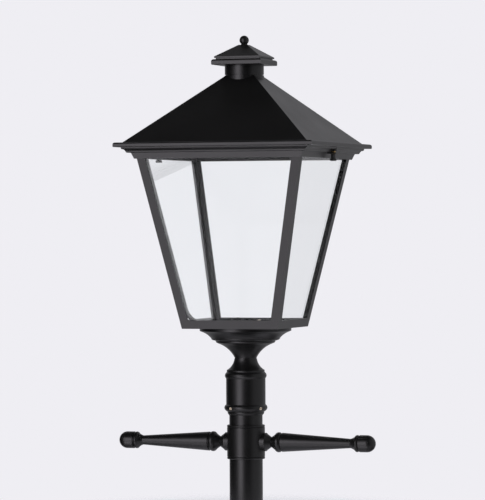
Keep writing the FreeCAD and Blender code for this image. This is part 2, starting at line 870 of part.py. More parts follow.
def bead_screws():
    body = new_body("bead_screws")
    reach = bead_place()
    spots = [(0, -reach), (reach, 0), (0, reach), (-reach, 0)]
    shanks = [spot + (s.bead_screw_radius,) for spot in spots]
    heads = [spot + (s.bead_screw_radius * SMALL_HEAD,) for spot in spots]
    length = s.ledge_thick + s.plate_thick + s.bead_height
    pad_outlines(body, [], FRAME_BASE, length, shanks)
    pad_outlines(body, [], FRAME_BASE + length, s.bead_screw_radius * HEAD_THICK, heads)
    return body


def base_plate():
    """The sheet that closes the frame, with a threaded boss for the hollow rod."""
    body = new_body("base_plate")
    half = half_at(PLATE_BASE) - s.rail_wall - s.seat_gap
    pad_outlines(body, [box_outline(-half, half, -half, half)], PLATE_BASE, s.plate_thick)
    boss_base = PLATE_TOP - s.plate_boss_depth
    pad_outlines(body, [], boss_base, s.plate_boss_depth, [(0, 0, s.plate_boss_radius)])
    drill_layer(body, boss_base, s.plate_boss_depth,
                [(0, 0, s.tie_rod_radius + s.fit_gap)])
    shift = -s.flare_shift
    cut_outlines(body, [], PLATE_TOP - s.plate_boss_depth * 0.6, s.plate_boss_depth,
                 circles=[(shift, shift, s.flare_radius)])
    bead_screw_holes(body, PLATE_BASE, s.plate_thick)
    return body


# ---------------------------------------------------------------- cable

def diagonal(distance, height):
    """A point towards the front left corner, at a distance from the axis along X and Y."""
    return FreeCAD.Vector(-distance.value, -distance.value, height.value)


def cable_route():
    """Corner points of the cable's middle line, each with the radius of its bend."""
    low = half_at(CABLE_LEVEL) - s.cable_corner
    return [
        (diagonal(dim(0), s.cable_start), 0),
        (diagonal(dim(0), CABLE_LEVEL), s.cable_bend.value),
        (diagonal(low, CABLE_LEVEL), s.cable_sweep.value),
        (diagonal(CABLE_HALF_TOP, CABLE_BEND_HEIGHT), s.cable_radius.value * 10),
        (diagonal(CABLE_HALF_TOP, HEAD_PLATE_BASE), 0)]


def rounded_wire(route):
    """Straight runs joined by tangent arcs, and the length of the whole."""
    edges = []
    spot = route[0][0]
    for index in range(1, len(route) - 1):
        corner, radius = route[index]
        back = (route[index - 1][0] - corner).normalize()
        ahead = (route[index + 1][0] - corner).normalize()
        half_turn = (math.pi - back.getAngle(ahead)) / 2
        trim = radius * math.tan(half_turn)
        start = corner + back * trim
        finish = corner + ahead * trim
        middle_line = (back + ahead).normalize()
        centre = corner + middle_line * (radius / math.cos(half_turn))
        edges.append(Part.LineSegment(spot, start).toShape())
        edges.append(Part.Arc(start, centre - middle_line * radius, finish).toShape())
        spot = finish
        print("cable bend %d: radius %.1f mm" % (index, radius))
    edges.append(Part.LineSegment(spot, route[-1][0]).toShape())
    return Part.Wire(edges)


def swept_tube(route, radius):
    wire = rounded_wire(route)
    first = wire.Edges[0]
    circle = Part.Circle(first.valueAt(0), first.tangentAt(0), radius)
    tube = wire.makePipeShell([Part.Wire(circle.toShape())], True, False)
    drift = tube.Volume / (math.pi * radius * radius * wire.Length) - 1
    print("cable tube: %.1f mm long, volume off by %.5f" % (wire.Length, drift))
    return tube


def supply_cable():
    """Round cable: up the hollow rod, along the base plate and up the front left post."""
    cable = doc.addObject("Part::Feature", "supply_cable")
    cable.Shape = swept_tube(cable_route(), s.cable_radius.value)
    cable.Label = "supply_cable"
    return cable


def cable_boot():
    """A rubber boot over the place where the cable turns out of the hollow rod."""
    dome = new_body("cable_boot_dome")
    rim = s.boot_flange
    side = dim(4.5)
    crown = dome_bend(s.boot_radius, s.boot_height - side)
    turn_outline(dome, [
        (0, 0), (rim, 0), (rim, 1.2), (s.boot_radius, 2), (s.boot_radius, side, crown),
        (0, s.boot_height)])
    spot = s.boot_offset * -math.sqrt(0.5)
    place(dome, height=PLATE_TOP, across=spot, along=spot)
    channel = doc.addObject("Part::Feature", "cable_channel")
    channel.Shape = swept_tube(cable_route()[:3], s.cable_radius.value + s.fit_gap.value)
    boot = doc.addObject("Part::Cut", "cable_boot")
    boot.Base = dome
    boot.Tool = channel
    boot.Label = "cable_boot"
    return boot


def cable_plug():
    """The lower half of the coupler that parts when the roof is lifted."""
    body = new_body("cable_plug")
    turn_outline(body, [
        (0, HEAD_PLATE_BASE), (s.plug_radius, HEAD_PLATE_BASE), (s.plug_radius, HEAD_PLATE_TOP),
        (s.plug_flange, HEAD_PLATE_TOP), (s.plug_flange, PLUG_TOP), (s.plug_spigot, PLUG_TOP),
        (s.plug_spigot, TRAY_TOP - 1), (s.plug_spigot - 1, TRAY_TOP), (0, TRAY_TOP)])
    return place(body, across=-CABLE_HALF_TOP, along=-CABLE_HALF_TOP)


def roof_socket():
    """The upper half of the coupler, fixed in the light unit's tray."""
    body = new_body("roof_socket")
    bore = s.plug_spigot + s.free_gap
    outer = s.plug_spigot + 2.5
    cover = TRAY_TOP + 7
    turn_outline(body, [
        (bore, PLUG_TOP + s.free_gap), (outer, PLUG_TOP + s.free_gap), (outer, TRAY_TOP),
        (s.plug_flange, TRAY_TOP), (s.plug_flange, cover - 2), (s.plug_flange - 2, cover),
        (0, cover), (0, TRAY_TOP + 1), (bore, TRAY_TOP + 1)])
    return place(body, across=-CABLE_HALF_TOP, along=-CABLE_HALF_TOP)


def socket_hole():
    return (-CABLE_HALF_TOP, -CABLE_HALF_TOP, s.plug_spigot + 2.5 + s.fit_gap)


# ---------------------------------------------------------------- thumb screws

def thumb_knob(label, across):
    """The black knob under a lug: a slim neck over a wider gripping foot."""
    body = new_body(label)
    bore = s.stud_radius + s.fit_gap
    foot_top = KNOB_BASE + s.knob_foot_height
    deep = KNOB_BASE + s.knob_floor
    edge = s.knob_edge
    turn_outline(body, [
        (0, KNOB_BASE), (s.knob_foot_radius - edge, KNOB_BASE, 0.4),
        (s.knob_foot_radius, KNOB_BASE + edge), (s.knob_foot_radius, foot_top - edge, 0.4),
        (s.knob_foot_radius - edge, foot_top), (s.knob_radius, foot_top),
        (s.knob_radius, KNOB_TOP), (bore, KNOB_TOP), (bore, deep), (0, deep)])
    return place(body, across=THUMB_REACH * across)


def thumb_stud(label, across):
    """The brass screw moulded into the knob, up through the lug into the cornice."""
    body = new_body(label)
    low = KNOB_BASE + s.knob_floor
    high = FASCIA_TOP + s.stud_top
    radius = s.stud_radius
    turn_outline(body, [(0, low), (radius, low), (radius, high - 1), (radius - 1, high), (0, high)])
    return place(body, across=THUMB_REACH * across)


def thread_inserts():
    """Two brass bushes in the cornice that take the thumb screws."""
    body = new_body("thread_inserts")
    high = FASCIA_TOP + s.stud_top + 1
    bore = s.stud_radius + s.free_gap
    reach = THUMB_REACH
    sketch = new_sketch(body, "XY_Plane", FASCIA_TOP + s.seat_gap)
    for side in (-1, 1):
        draw_circle(sketch, reach * side, 0, s.insert_radius)
        draw_circle(sketch, reach * side, 0, bore)
    pad = body.newObject("PartDesign::Pad", "thread_inserts_pad")
    pad.Profile = sketch
    bind(pad, "Length", high - FASCIA_TOP - s.seat_gap)
    body.Tip = pad
    return body


# ---------------------------------------------------------------- roof

def roof_cornice():
    """The moulded frame under the roof: ledge, two small coves and a round nosed edge."""
    body = new_body("roof_cornice")
    low = FASCIA_TOP
    high = CORNICE_TOP
    wall = s.cornice_wall
    inner = HEAD_PLATE_HALF
    seat = ROOF_HALF - s.roof_seat
    nose = CORNICE_HALF - s.cornice_nose_wall

    def at(out, up, bend=0):
        return (FASCIA_TOP_HALF + s.cornice_out * out, low + s.cornice_height * up, bend)

    ledge = at(0.567, 0.547)
    mitre_square(body, [
        (inner, low), at(0.222, 0), at(0.274, 0.056, -0.15), at(0.393, 0.313),
        at(0.496, 0.335), at(0.544, 0.425, -0.15), ledge, at(0.94, 0.547, 0.4),
        at(1, 0.631), at(1, 0.81, QUARTER_BEND), at(0.865, 1), (seat, high),
        (seat, high - wall), (nose, high - wall), (nose, ledge[1] + wall),
        (ledge[0] - wall, ledge[1] + wall), (FASCIA_TOP_HALF + wall, low + wall),
        (inner, low + wall)], CORNICE_HALF)
    reach = THUMB_REACH
    boss = s.insert_radius + s.insert_wall
    boss_height = s.cornice_height - s.cornice_boss_rise - s.cornice_boss_drop
    pad_outlines(body, [], low + s.cornice_boss_rise, boss_height,
                 [(reach, 0, boss), (-reach, 0, boss)])
    hole = s.insert_radius + s.fit_gap
    drill_layer(body, low, s.stud_top + 2, [(reach, 0, hole), (-reach, 0, hole)])
    cable = -CABLE_HALF_TOP
    drill_layer(body, low, wall, [(cable, cable, s.plug_flange + s.free_gap)])
    holes = [spot + (s.tray_screw_radius + s.fit_gap,) for spot in tray_screw_spots()]
    drill_layer(body, low, wall, holes)
    return body


def tray_screw_spots():
    reach = (HEAD_PLATE_HALF + TRAY_HALF) * 0.5
    return [(0, -reach), (reach, 0), (0, reach), (-reach, 0)]


def roof_shell():
    """The four sided roof with the short round collar of its chimney."""
    body = new_body("roof_shell")
    foot = ROOF_HALF
    thin = foot - (s.roof_wall - s.roof_edge) / s.roof_pitch
    top = foot - (COLLAR_TOP - CORNICE_TOP - s.roof_edge) / s.roof_pitch
    hole = top - s.roof_wall / s.roof_pitch
    mitre_square(body, [
        (thin, CORNICE_TOP), (foot, CORNICE_TOP), (foot, roof_height(foot)),
        (top, COLLAR_TOP), (hole, COLLAR_TOP)], foot)
    base = bridge_top()
    pad_outlines(body, [], base, COLLAR_TOP - base, [(0, 0, s.roof_collar_radius)])
    drill_layer(body, base, COLLAR_TOP - base, [(0, 0, s.roof_collar_bore)])
    return body


def chimney_neck():
    """The plain round pipe between the roof's collar and the cap."""
    body = new_body("chimney_neck")
    outer = s.neck_radius
    inner = s.neck_radius - s.neck_wall
    turn_outline(body, [
        (inner, COLLAR_TOP), (outer - s.neck_groove, COLLAR_TOP),
        (outer - s.neck_groove, COLLAR_TOP + s.neck_groove),
        (outer, COLLAR_TOP + s.neck_groove), (outer, NECK_TOP), (inner, NECK_TOP)])
    return body


def chimney_cap():
    """The small pyramid over the chimney, with a stepped and rounded band."""
    body = new_body("chimney_cap")
    out = s.cap_half
    step = s.cap_step_half
    low = NECK_TOP
    band = NECK_TOP + s.cap_band
    groove = band + s.cap_groove
    top = s.cap_top_half
    mitre_square(body, [
        (0, low), (out - 1.6, low, 0.4), (out, low + 1.6), (out, band - 4.2, 0.4),
        (out - 3.4, band), (step - s.cap_groove, band), (step - s.cap_groove, groove),
        (step, groove), (step, cap_height(step)), (top, cap_height(top)),
        (0, cap_height(top))], out)
    wall = s.neck_radius - s.neck_wall
    groove_cavity(body, [(0, low - 1), (wall, low - 1), (wall, low + 4), (9, low + 22),
                         (0, low + 22)])
    drill_layer(body, low, cap_height(top) - low, [(0, 0, s.rod_radius + s.fit_gap)])
    return body


def groove_cavity(body, points):
    """Hollow a body out with an outline spun about the vertical axis."""
    before = volume(body)
    sketch = new_sketch(body, "XZ_Plane")
    draw_outline(sketch, points)
    groove = body.newObject("PartDesign::Groove", body.Label + "_cavity")
    groove.Profile = sketch
    groove.ReferenceAxis = (sketch, ["V_Axis"])
    groove.Angle = 360
    body.Tip = groove
    if volume(body) > before - 1e-3:
        raise ValueError("no cavity in " + body.Label)


def finial_ball():
    """The ball nut on top, with a short round neck and a blind thread from below."""
    body = new_body("finial_ball")
    neck = s.ball_neck_radius
    turn_outline(body, [
        (0, CAP_TOP), (neck + 1.0, CAP_TOP), (neck, CAP_TOP + s.ball_neck_height),
        (neck, BALL_HEIGHT), (0, BALL_HEIGHT)])
    ball = body.newObject("PartDesign::AdditiveSphere", "finial_ball_sphere")
    bind(ball, "Radius", s.ball_radius)
    ball.AttachmentSupport = [(origin_plane(body, "XY_Plane"), "")]
    ball.MapMode = "FlatFace"
    bind(ball, "AttachmentOffset.Base.z", BALL_HEIGHT)
    body.Tip = ball
    cut_outlines(body, [], CAP_TOP - 1, 6, [(0, 0, s.rod_radius + s.fit_gap)])
    return body


def bridge_top():
    return roof_height(s.roof_collar_radius) - s.roof_wall - 6


def chimney_rod():
    """The threaded rod from the ball down through the cap to the bridge."""
    body = new_body("chimney_rod")
    low = bridge_top() - s.bridge_thick - 10
    turn_outline(body, box_outline(0, s.rod_radius, low, CAP_TOP + 4.5))
    return body


def chimney_bridge():
    """The bar under the roof's collar that the rod pulls against."""
    body = new_body("chimney_bridge")
    across = s.bridge_length * 0.5
    along = s.bridge_width * 0.5
    pad_outlines(body, [box_outline(-across, across, -along, along)],
                 bridge_top() - s.bridge_thick, s.bridge_thick,
                 [(0, 0, s.rod_radius + s.fit_gap)])
    return body


def chimney_nut():
    body = new_body("chimney_nut")
    width = s.rod_radius * 3.25
    height = s.rod_radius * 1.6
    pad_outlines(body, [hexagon(width)], bridge_top() - s.bridge_thick - height, height,
                 [(0, 0, s.rod_radius + s.fit_gap)])
    return body


# ---------------------------------------------------------------- light unit

def gear_tray():
    """The plate across the cornice that carries the light unit."""
    body = new_body("gear_tray")
    half = TRAY_HALF
    holes = [spot + (s.tray_screw_radius + s.fit_gap,) for spot in tray_screw_spots()]
    pad_outlines(body, [box_outline(-half, half, -half, half)], TRAY_BASE, s.tray_thick,
                 [(0, 0, s.lamp_hole), socket_hole()] + holes)
    return body


def tray_screws():
    body = new_body("tray_screws")
    shanks = [spot + (s.tray_screw_radius,) for spot in tray_screw_spots()]
    heads = [spot + (s.tray_screw_radius * 1.9,) for spot in tray_screw_spots()]
    length = s.cornice_wall + s.tray_thick
    pad_outlines(body, [], FASCIA_TOP + s.seat_gap, length - s.seat_gap, shanks)
    pad_outlines(body, [], TRAY_TOP, 2.4, heads)
    return body


def lamp_lens():
    """The opal lens, a shallow dish that hangs in the tray's hole."""
    body = new_body("lamp_lens")
    side = s.lamp_hole - s.free_gap
    flange = s.lamp_hole + s.lens_flange
    wall = s.lens_wall
    low = TRAY_BASE - s.lens_drop
    corner = side - s.lens_rounding
    high = LENS_TOP
    turn_outline(body, [
        (0, low), (corner, low, 0.3), (side, low + s.lens_side_rise), (side, TRAY_TOP),
        (flange, TRAY_TOP), (flange, high), (side - wall, high),
        (side - wall, low + s.lens_side_rise + wall * 0.5, -0.3),
        (corner - wall * 0.5, low + wall), (0, low + wall)])
    return body


def led_board():
    body = new_body("led_board")
    base = LENS_TOP - s.board_thick
    turn_outline(body, box_outline(0, s.board_radius, base, LENS_TOP))
    return body


def heat_sink():
    """A round plate with straight cooling fins that holds board and lens to the tray."""
    body = new_body("heat_sink")
    top = LENS_TOP + s.sink_base
    turn_outline(body, box_outline(0, s.lamp_hole + 6, LENS_TOP, top))
    fins = []
    for number in range(-5, 6):
        middle = s.fin_pitch * number
        reach = square_root(s.sink_radius * s.sink_radius - middle * middle)
        half = s.fin_thick * 0.5
        fins.append(box_outline(middle - half, middle + half, -reach, reach))
    pad_outlines(body, fins, top, s.fin_height)
    return body


def led_driver():
    """The sealed power supply on the tray, beside the light unit."""
    body = new_body("led_driver")
    near = -s.driver_offset - s.driver_width * 0.5
    far = -s.driver_offset + s.driver_width * 0.5
    half = s.driver_length * 0.5
    pad_outlines(body, [box_outline(near, far, -half, half)], TRAY_TOP, s.driver_height)
    return body


# ---------------------------------------------------------------- build and write

SUB_PARTS = [
    post_tube(), ladder_collar(), collar_grub_screws(),
    ladder_bar("ladder_bar_left", 180), ladder_bar("ladder_bar_right", 0),
    post_fitter(), fitter_set_screws(), base_dish(),
    hollow_tie_rod(), tie_rod_nut(), tie_rod_washer(),
    bottom_frame(), base_plate(),
    corner_post("post_front_left", -1, -1), corner_post("post_front_right", 1, -1),
    corner_post("post_back_left", -1, 1), corner_post("post_back_right", 1, 1),
    top_frame(), post_screws(),
    glass_pane("glass_front", 0), glass_pane("glass_right", 90),
    glass_pane("glass_back", 180), glass_pane("glass_left", 270),
    glazing_beads(), bead_screws(),
    supply_cable(), cable_boot(), cable_plug(),
    thumb_knob("thumb_knob_left", -1), thumb_knob("thumb_knob_right", 1),
    thumb_stud("thumb_stud_left", -1), thumb_stud("thumb_stud_right", 1),
    roof_cornice(), thread_inserts(), roof_shell(),
    chimney_neck(), chimney_cap(), finial_ball(),
    chimney_rod(), chimney_bridge(), chimney_nut(),
    gear_tray(), tray_screws(), roof_socket(),
    lamp_lens(), led_board(), heat_sink(), led_driver(),
]
doc.recompute()

for item in doc.Objects:
    if "Invalid" in item.State or "Error" in item.State:
        raise ValueError("%s failed: %s" % (item.Label, item.State))

os.makedirs("parts", exist_ok=True)
for sub_part in SUB_PARTS:
    shape = sub_part.Shape
    if shape.isNull() or not shape.isValid() or not shape.Solids:
        raise ValueError(sub_part.Label + " has no sound shape")
    shape.exportStep("parts/%s.step" % sub_part.Label)
    box = shape.BoundBox
    print("%-20s %2d solid(s) %9.0f mm3  z %.1f to %.1f" % (
        sub_part.Label, len(shape.Solids), shape.Volume, box.ZMin, box.ZMax))
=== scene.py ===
import json
import math

import bmesh
import bpy
from mathutils import Matrix, Vector


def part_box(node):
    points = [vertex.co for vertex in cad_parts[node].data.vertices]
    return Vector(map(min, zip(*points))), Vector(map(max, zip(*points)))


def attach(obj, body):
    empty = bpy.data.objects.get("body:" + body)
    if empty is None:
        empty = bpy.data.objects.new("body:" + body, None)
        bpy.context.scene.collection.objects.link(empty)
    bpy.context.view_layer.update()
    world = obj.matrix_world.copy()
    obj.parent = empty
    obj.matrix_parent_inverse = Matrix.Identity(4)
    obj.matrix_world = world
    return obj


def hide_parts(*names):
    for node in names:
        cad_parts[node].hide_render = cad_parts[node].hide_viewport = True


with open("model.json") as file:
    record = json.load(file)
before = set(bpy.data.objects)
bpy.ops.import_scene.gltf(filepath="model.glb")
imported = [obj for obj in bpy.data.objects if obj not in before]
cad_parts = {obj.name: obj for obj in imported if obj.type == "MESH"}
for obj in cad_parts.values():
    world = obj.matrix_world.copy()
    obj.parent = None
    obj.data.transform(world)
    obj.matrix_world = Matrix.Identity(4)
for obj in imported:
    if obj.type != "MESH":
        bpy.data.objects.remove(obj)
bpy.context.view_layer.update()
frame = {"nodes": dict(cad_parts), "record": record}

# ---------------------------------------------------------------- names and places of the frame

NODES = frame["nodes"]
SLOTS = {part["node"]: part["material_slot"] for part in frame["record"]["subparts"]}
FRAME_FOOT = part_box("bottom_frame")[0][2]
POST_BODY = "post_and_frame"

# One millimetre in metres.
MM = 0.001


# ---------------------------------------------------------------- camera

PHOTO_WIDTH = 485
FOCAL_PIXELS = 3265.0
SENSOR_WIDTH = 36.0
CAMERA_TURN = math.radians(18.58)
CAMERA_DISTANCE = 5.895
CAMERA_RISE = 0.1805
CAMERA_SIDESTEP = -0.00482
CAMERA_DIP = math.radians(-0.392)
CAMERA_ROLL = math.radians(-0.27)
VIEW_DEPTH = 50


def add_camera():
    """The photograph's view, from the front and a little to the right."""
    away = Vector((math.sin(CAMERA_TURN), -math.cos(CAMERA_TURN), 0))
    aside = Vector((math.cos(CAMERA_TURN), math.sin(CAMERA_TURN), 0))
    place = away * CAMERA_DISTANCE + aside * CAMERA_SIDESTEP
    place.z = FRAME_FOOT + CAMERA_RISE
    ahead = Vector((0, 0, math.sin(CAMERA_DIP))) - away * math.cos(CAMERA_DIP)
    upward = away * math.sin(CAMERA_DIP) + Vector((0, 0, math.cos(CAMERA_DIP)))
    right = aside * math.cos(CAMERA_ROLL) + upward * math.sin(CAMERA_ROLL)
    top = upward * math.cos(CAMERA_ROLL) - aside * math.sin(CAMERA_ROLL)
    data = bpy.data.cameras.new("photo_camera")
    data.sensor_fit = "HORIZONTAL"
    data.sensor_width = SENSOR_WIDTH
    data.lens = FOCAL_PIXELS * SENSOR_WIDTH / PHOTO_WIDTH
    data.clip_end = VIEW_DEPTH
    camera = bpy.data.objects.new("photo_camera", data)
    turn = Matrix((right, top, -ahead)).transposed().to_4x4()
    camera.matrix_world = Matrix.Translation(place) @ turn
    bpy.context.scene.collection.objects.link(camera)
    bpy.context.scene.camera = camera


# ---------------------------------------------------------------- small helpers for nodes

class Shader:
    """A material or group being wired up."""

    def __init__(self, tree):
        self.tree = tree

    def node(self, kind, inputs=None, **settings):
        made = self.tree.nodes.new(kind)
        for name, value in settings.items():
            setattr(made, name, value)
        for name, value in (inputs or {}).items():
            self.feed(made.inputs[name], value)
        return made

    def feed(self, socket, value):
        if isinstance(value, bpy.types.NodeSocket):
            self.tree.links.new(value, socket)
        else:
            socket.default_value = value

    def combine(self, operation, first, second=0.0, clamp=False):
        """Adds, takes away or multiplies two numbers."""
        made = self.node("ShaderNodeMath", {0: first, 1: second},
                         operation=operation, use_clamp=clamp)
        return made.outputs[0]

    def scaled(self, vector, factor):
        """A colour or direction times a number."""
        made = self.node("ShaderNodeVectorMath", {0: vector, "Scale": factor}, operation="SCALE")
        return made.outputs[0]

    def dot(self, first, second):
        """How far two directions agree, from -1 to 1."""
        made = self.node("ShaderNodeVectorMath", {0: first, 1: second}, operation="DOT_PRODUCT")
        return made.outputs["Value"]

    def mix_colour(self, factor, first, second):
        made = self.node("ShaderNodeMix", {"Factor": factor}, data_type="RGBA")
        self.feed(made.inputs["A"], first)
        self.feed(made.inputs["B"], second)
        return made.outputs["Result"]

    def noise(self, where, scale, detail=3.0):
        made = self.node("ShaderNodeTexNoise", {"Vector": where, "Scale": scale, "Detail": detail})
        return made.outputs["Fac"]

    def between(self, value, low, high):
        """Maps 0..1 to low..high."""
        made = self.node("ShaderNodeMapRange", {"Value": value, "To Min": low, "To Max": high})
        return made.outputs["Result"]

    def along(self, mask, low, high):
        """As between, where low and high may come from sockets."""
        spread = self.combine("SUBTRACT", high, low)
        return self.combine("ADD", self.combine("MULTIPLY", spread, mask), low)

    def fade(self, value, start, finish, level=1.0):
        """Goes smoothly from 0 where the value is start to a level where it is finish."""
        made = self.node("ShaderNodeMapRange", {
            "Value": value, "From Min": start, "From Max": finish, "To Max": level},
            interpolation_type="SMOOTHSTEP")
        return made.outputs["Result"]

    def own_place(self):
        """Places on the piece itself, in metres."""
        return self.node("ShaderNodeTexCoord").outputs["Object"]


def grey(level, tint=(1.0, 1.0, 1.0)):
    """A linear colour from a 0 to 255 screen level."""
    linear = ((level / 255 + 0.055) / 1.055) ** 2.4
    return (linear * tint[0], linear * tint[1], linear * tint[2], 1.0)


def dimmed(colour, share):
    """The same colour at a share of its level."""
    return tuple(value * share for value in colour[:3]) + (1.0,)


BACKGROUND = (grey(239)[0], grey(238)[0], grey(243)[0], 1.0)


# ---------------------------------------------------------------- shared finishes

# Scales of the patterns: the larger the number, the finer the pattern.
WAVE_SIZE = 160.0
BLOTCH_SIZE = 14.0
GRAIN_LINE_SIZE = 400.0
STAIN_SIZE = 60.0
MOTTLE_SIZE = 90.0
FILM_SIZE = 18.0

# How far a pattern darkens and lightens a colour, and how rough the film on the glass is.
BLOTCH_TONES = (0.86, 1.14)
STAIN_TONES = (0.8, 1.1)
MOTTLE_TONES = (0.88, 1.12)
FILM_ROUGHNESS = (0.0, 0.03)

# The paint's long waves under its pebbles, and the paler rub on its edges.
WAVE_SHARE = 0.45
EDGE_RADIUS = 1.2 * MM
EDGE_SAMPLES = 4
EDGE_GAIN = 6.0

BUMP_STRENGTH = 0.5
GLASS_INDEX = 1.22


def new_group(name, inputs, outputs):
    """A shader group with named sockets: inputs are (name, kind, value), outputs (name, kind)."""
    tree = bpy.data.node_groups.new(name, "ShaderNodeTree")
    for label, kind, value in inputs:
        socket = tree.interface.new_socket(label, in_out="INPUT", socket_type=kind)
        if value is not None:
            socket.default_value = value
    for label, kind in outputs:
        tree.interface.new_socket(label, in_out="OUTPUT", socket_type=kind)
    shader = Shader(tree)
    return shader, shader.node("NodeGroupInput").outputs, shader.node("NodeGroupOutput").inputs


def make_powder_coat():
    """Baked powder paint: a fine pebbled skin, soft blotches and paler worn edges."""
    shader, given, out = new_group(
        "powder_coat_finish",
        [("Paint", "NodeSocketColor", grey(13)), ("Edge", "NodeSocketColor", grey(40)),
         ("Sheen Low", "NodeSocketFloat", 0.29), ("Sheen High", "NodeSocketFloat", 0.4),
         ("Pebble Size", "NodeSocketFloat", 900.0), ("Edge Amount", "NodeSocketFloat", 0.35)],
        [("Color", "NodeSocketColor"), ("Roughness", "NodeSocketFloat"),
         ("Height", "NodeSocketFloat")])
    where = shader.own_place()
    pebbles = shader.noise(where, given["Pebble Size"], detail=2.0)
    waves = shader.noise(where, WAVE_SIZE, detail=2.0)
    blotch = shader.noise(where, BLOTCH_SIZE, detail=4.0)
    bevel = shader.node("ShaderNodeBevel", {"Radius": EDGE_RADIUS}, samples=EDGE_SAMPLES)
    flat = shader.node("ShaderNodeNewGeometry").outputs["Normal"]
    edge = shader.combine(
        "SUBTRACT", 1.0, shader.dot(bevel.outputs["Normal"], flat), clamp=True)
    edge = shader.combine("MULTIPLY", edge, EDGE_GAIN, clamp=True)
    edge = shader.combine("MULTIPLY", edge, given["Edge Amount"])
    paint = shader.scaled(given["Paint"], shader.between(blotch, *BLOTCH_TONES))
    shader.feed(out["Color"], shader.mix_colour(edge, paint, given["Edge"]))
    shader.feed(out["Roughness"], shader.along(blotch, given["Sheen Low"], given["Sheen High"]))
    skin = shader.combine("MULTIPLY", waves, WAVE_SHARE)
    shader.feed(out["Height"], shader.combine("ADD", skin, pebbles))
    return shader.tree


def make_metal_grain():
    """Bare metal: fine turning or drawing lines along one axis, with soft stains."""
    shader, given, out = new_group(
        "bare_metal_grain",
        [("Metal", "NodeSocketColor", grey(170)), ("Stretch", "NodeSocketVector", (1, 1, 30)),
         ("Rough Low", "NodeSocketFloat", 0.25), ("Rough High", "NodeSocketFloat", 0.42)],
        [("Color", "NodeSocketColor"), ("Roughness", "NodeSocketFloat"),
         ("Height", "NodeSocketFloat")])
    where = shader.own_place()
    stretched = shader.node(
        "ShaderNodeVectorMath", {0: where, 1: given["Stretch"]}, operation="MULTIPLY")
    lines = shader.noise(stretched.outputs[0], GRAIN_LINE_SIZE)
    stain = shader.noise(where, STAIN_SIZE, detail=4.0)
    metal = shader.scaled(given["Metal"], shader.between(stain, *STAIN_TONES))
    shader.feed(out["Color"], metal)
    shader.feed(out["Roughness"], shader.along(lines, given["Rough Low"], given["Rough High"]))
    shader.feed(out["Height"], lines)
    return shader.tree


def make_moulded_skin():
    """Moulded plastic or rubber: a fine matt grain and slight mottling."""
    shader, given, out = new_group(
        "moulded_skin",
        [("Plastic", "NodeSocketColor", grey(40)), ("Rough Low", "NodeSocketFloat", 0.4),
         ("Rough High", "NodeSocketFloat", 0.6), ("Grain Size", "NodeSocketFloat", 1500.0)],
        [("Color", "NodeSocketColor"), ("Roughness", "NodeSocketFloat"),
         ("Height", "NodeSocketFloat")])
    where = shader.own_place()
    grain = shader.noise(where, given["Grain Size"], detail=2.0)
    mottle = shader.noise(where, MOTTLE_SIZE)
    plastic = shader.scaled(given["Plastic"], shader.between(mottle, *MOTTLE_TONES))
    shader.feed(out["Color"], plastic)
    shader.feed(out["Roughness"], shader.along(mottle, given["Rough Low"], given["Rough High"]))
    shader.feed(out["Height"], grain)
    return shader.tree


def finish_material(name, group, values, bump_depth, metallic=0.0):
    """A material whose colour, roughness and bump come from one of the shared finishes."""
    material = bpy.data.materials.new(name)
    material.use_nodes = True
    shader = Shader(material.node_tree)
    surface = material.node_tree.nodes["Principled BSDF"]
    made = shader.node("ShaderNodeGroup", node_tree=group)
    for label, value in values.items():
        made.inputs[label].default_value = value
    bump = shader.node("ShaderNodeBump", {
        "Height": made.outputs["Height"], "Distance": bump_depth, "Strength": BUMP_STRENGTH})
    shader.feed(surface.inputs["Base Color"], made.outputs["Color"])
    shader.feed(surface.inputs["Roughness"], made.outputs["Roughness"])
    shader.feed(surface.inputs["Normal"], bump.outputs["Normal"])
    surface.inputs["Metallic"].default_value = metallic
    return material


def make_glass(name):
    """Clear float glass with a trace of green and a faint uneven film of dust."""
    material = bpy.data.materials.new(name)
    material.use_nodes = True
    shader = Shader(material.node_tree)
    surface = material.node_tree.nodes["Principled BSDF"]
    film = shader.noise(shader.own_place(), FILM_SIZE, detail=5.0)
    tint = shader.mix_colour(film, (0.985, 0.992, 0.99, 1), (0.965, 0.98, 0.976, 1))
    shader.feed(surface.inputs["Base Color"], tint)
    shader.feed(surface.inputs["Roughness"], shader.between(film, *FILM_ROUGHNESS))
    surface.inputs["Transmission Weight"].default_value = 1.0
    surface.inputs["IOR"].default_value = GLASS_INDEX
    return material


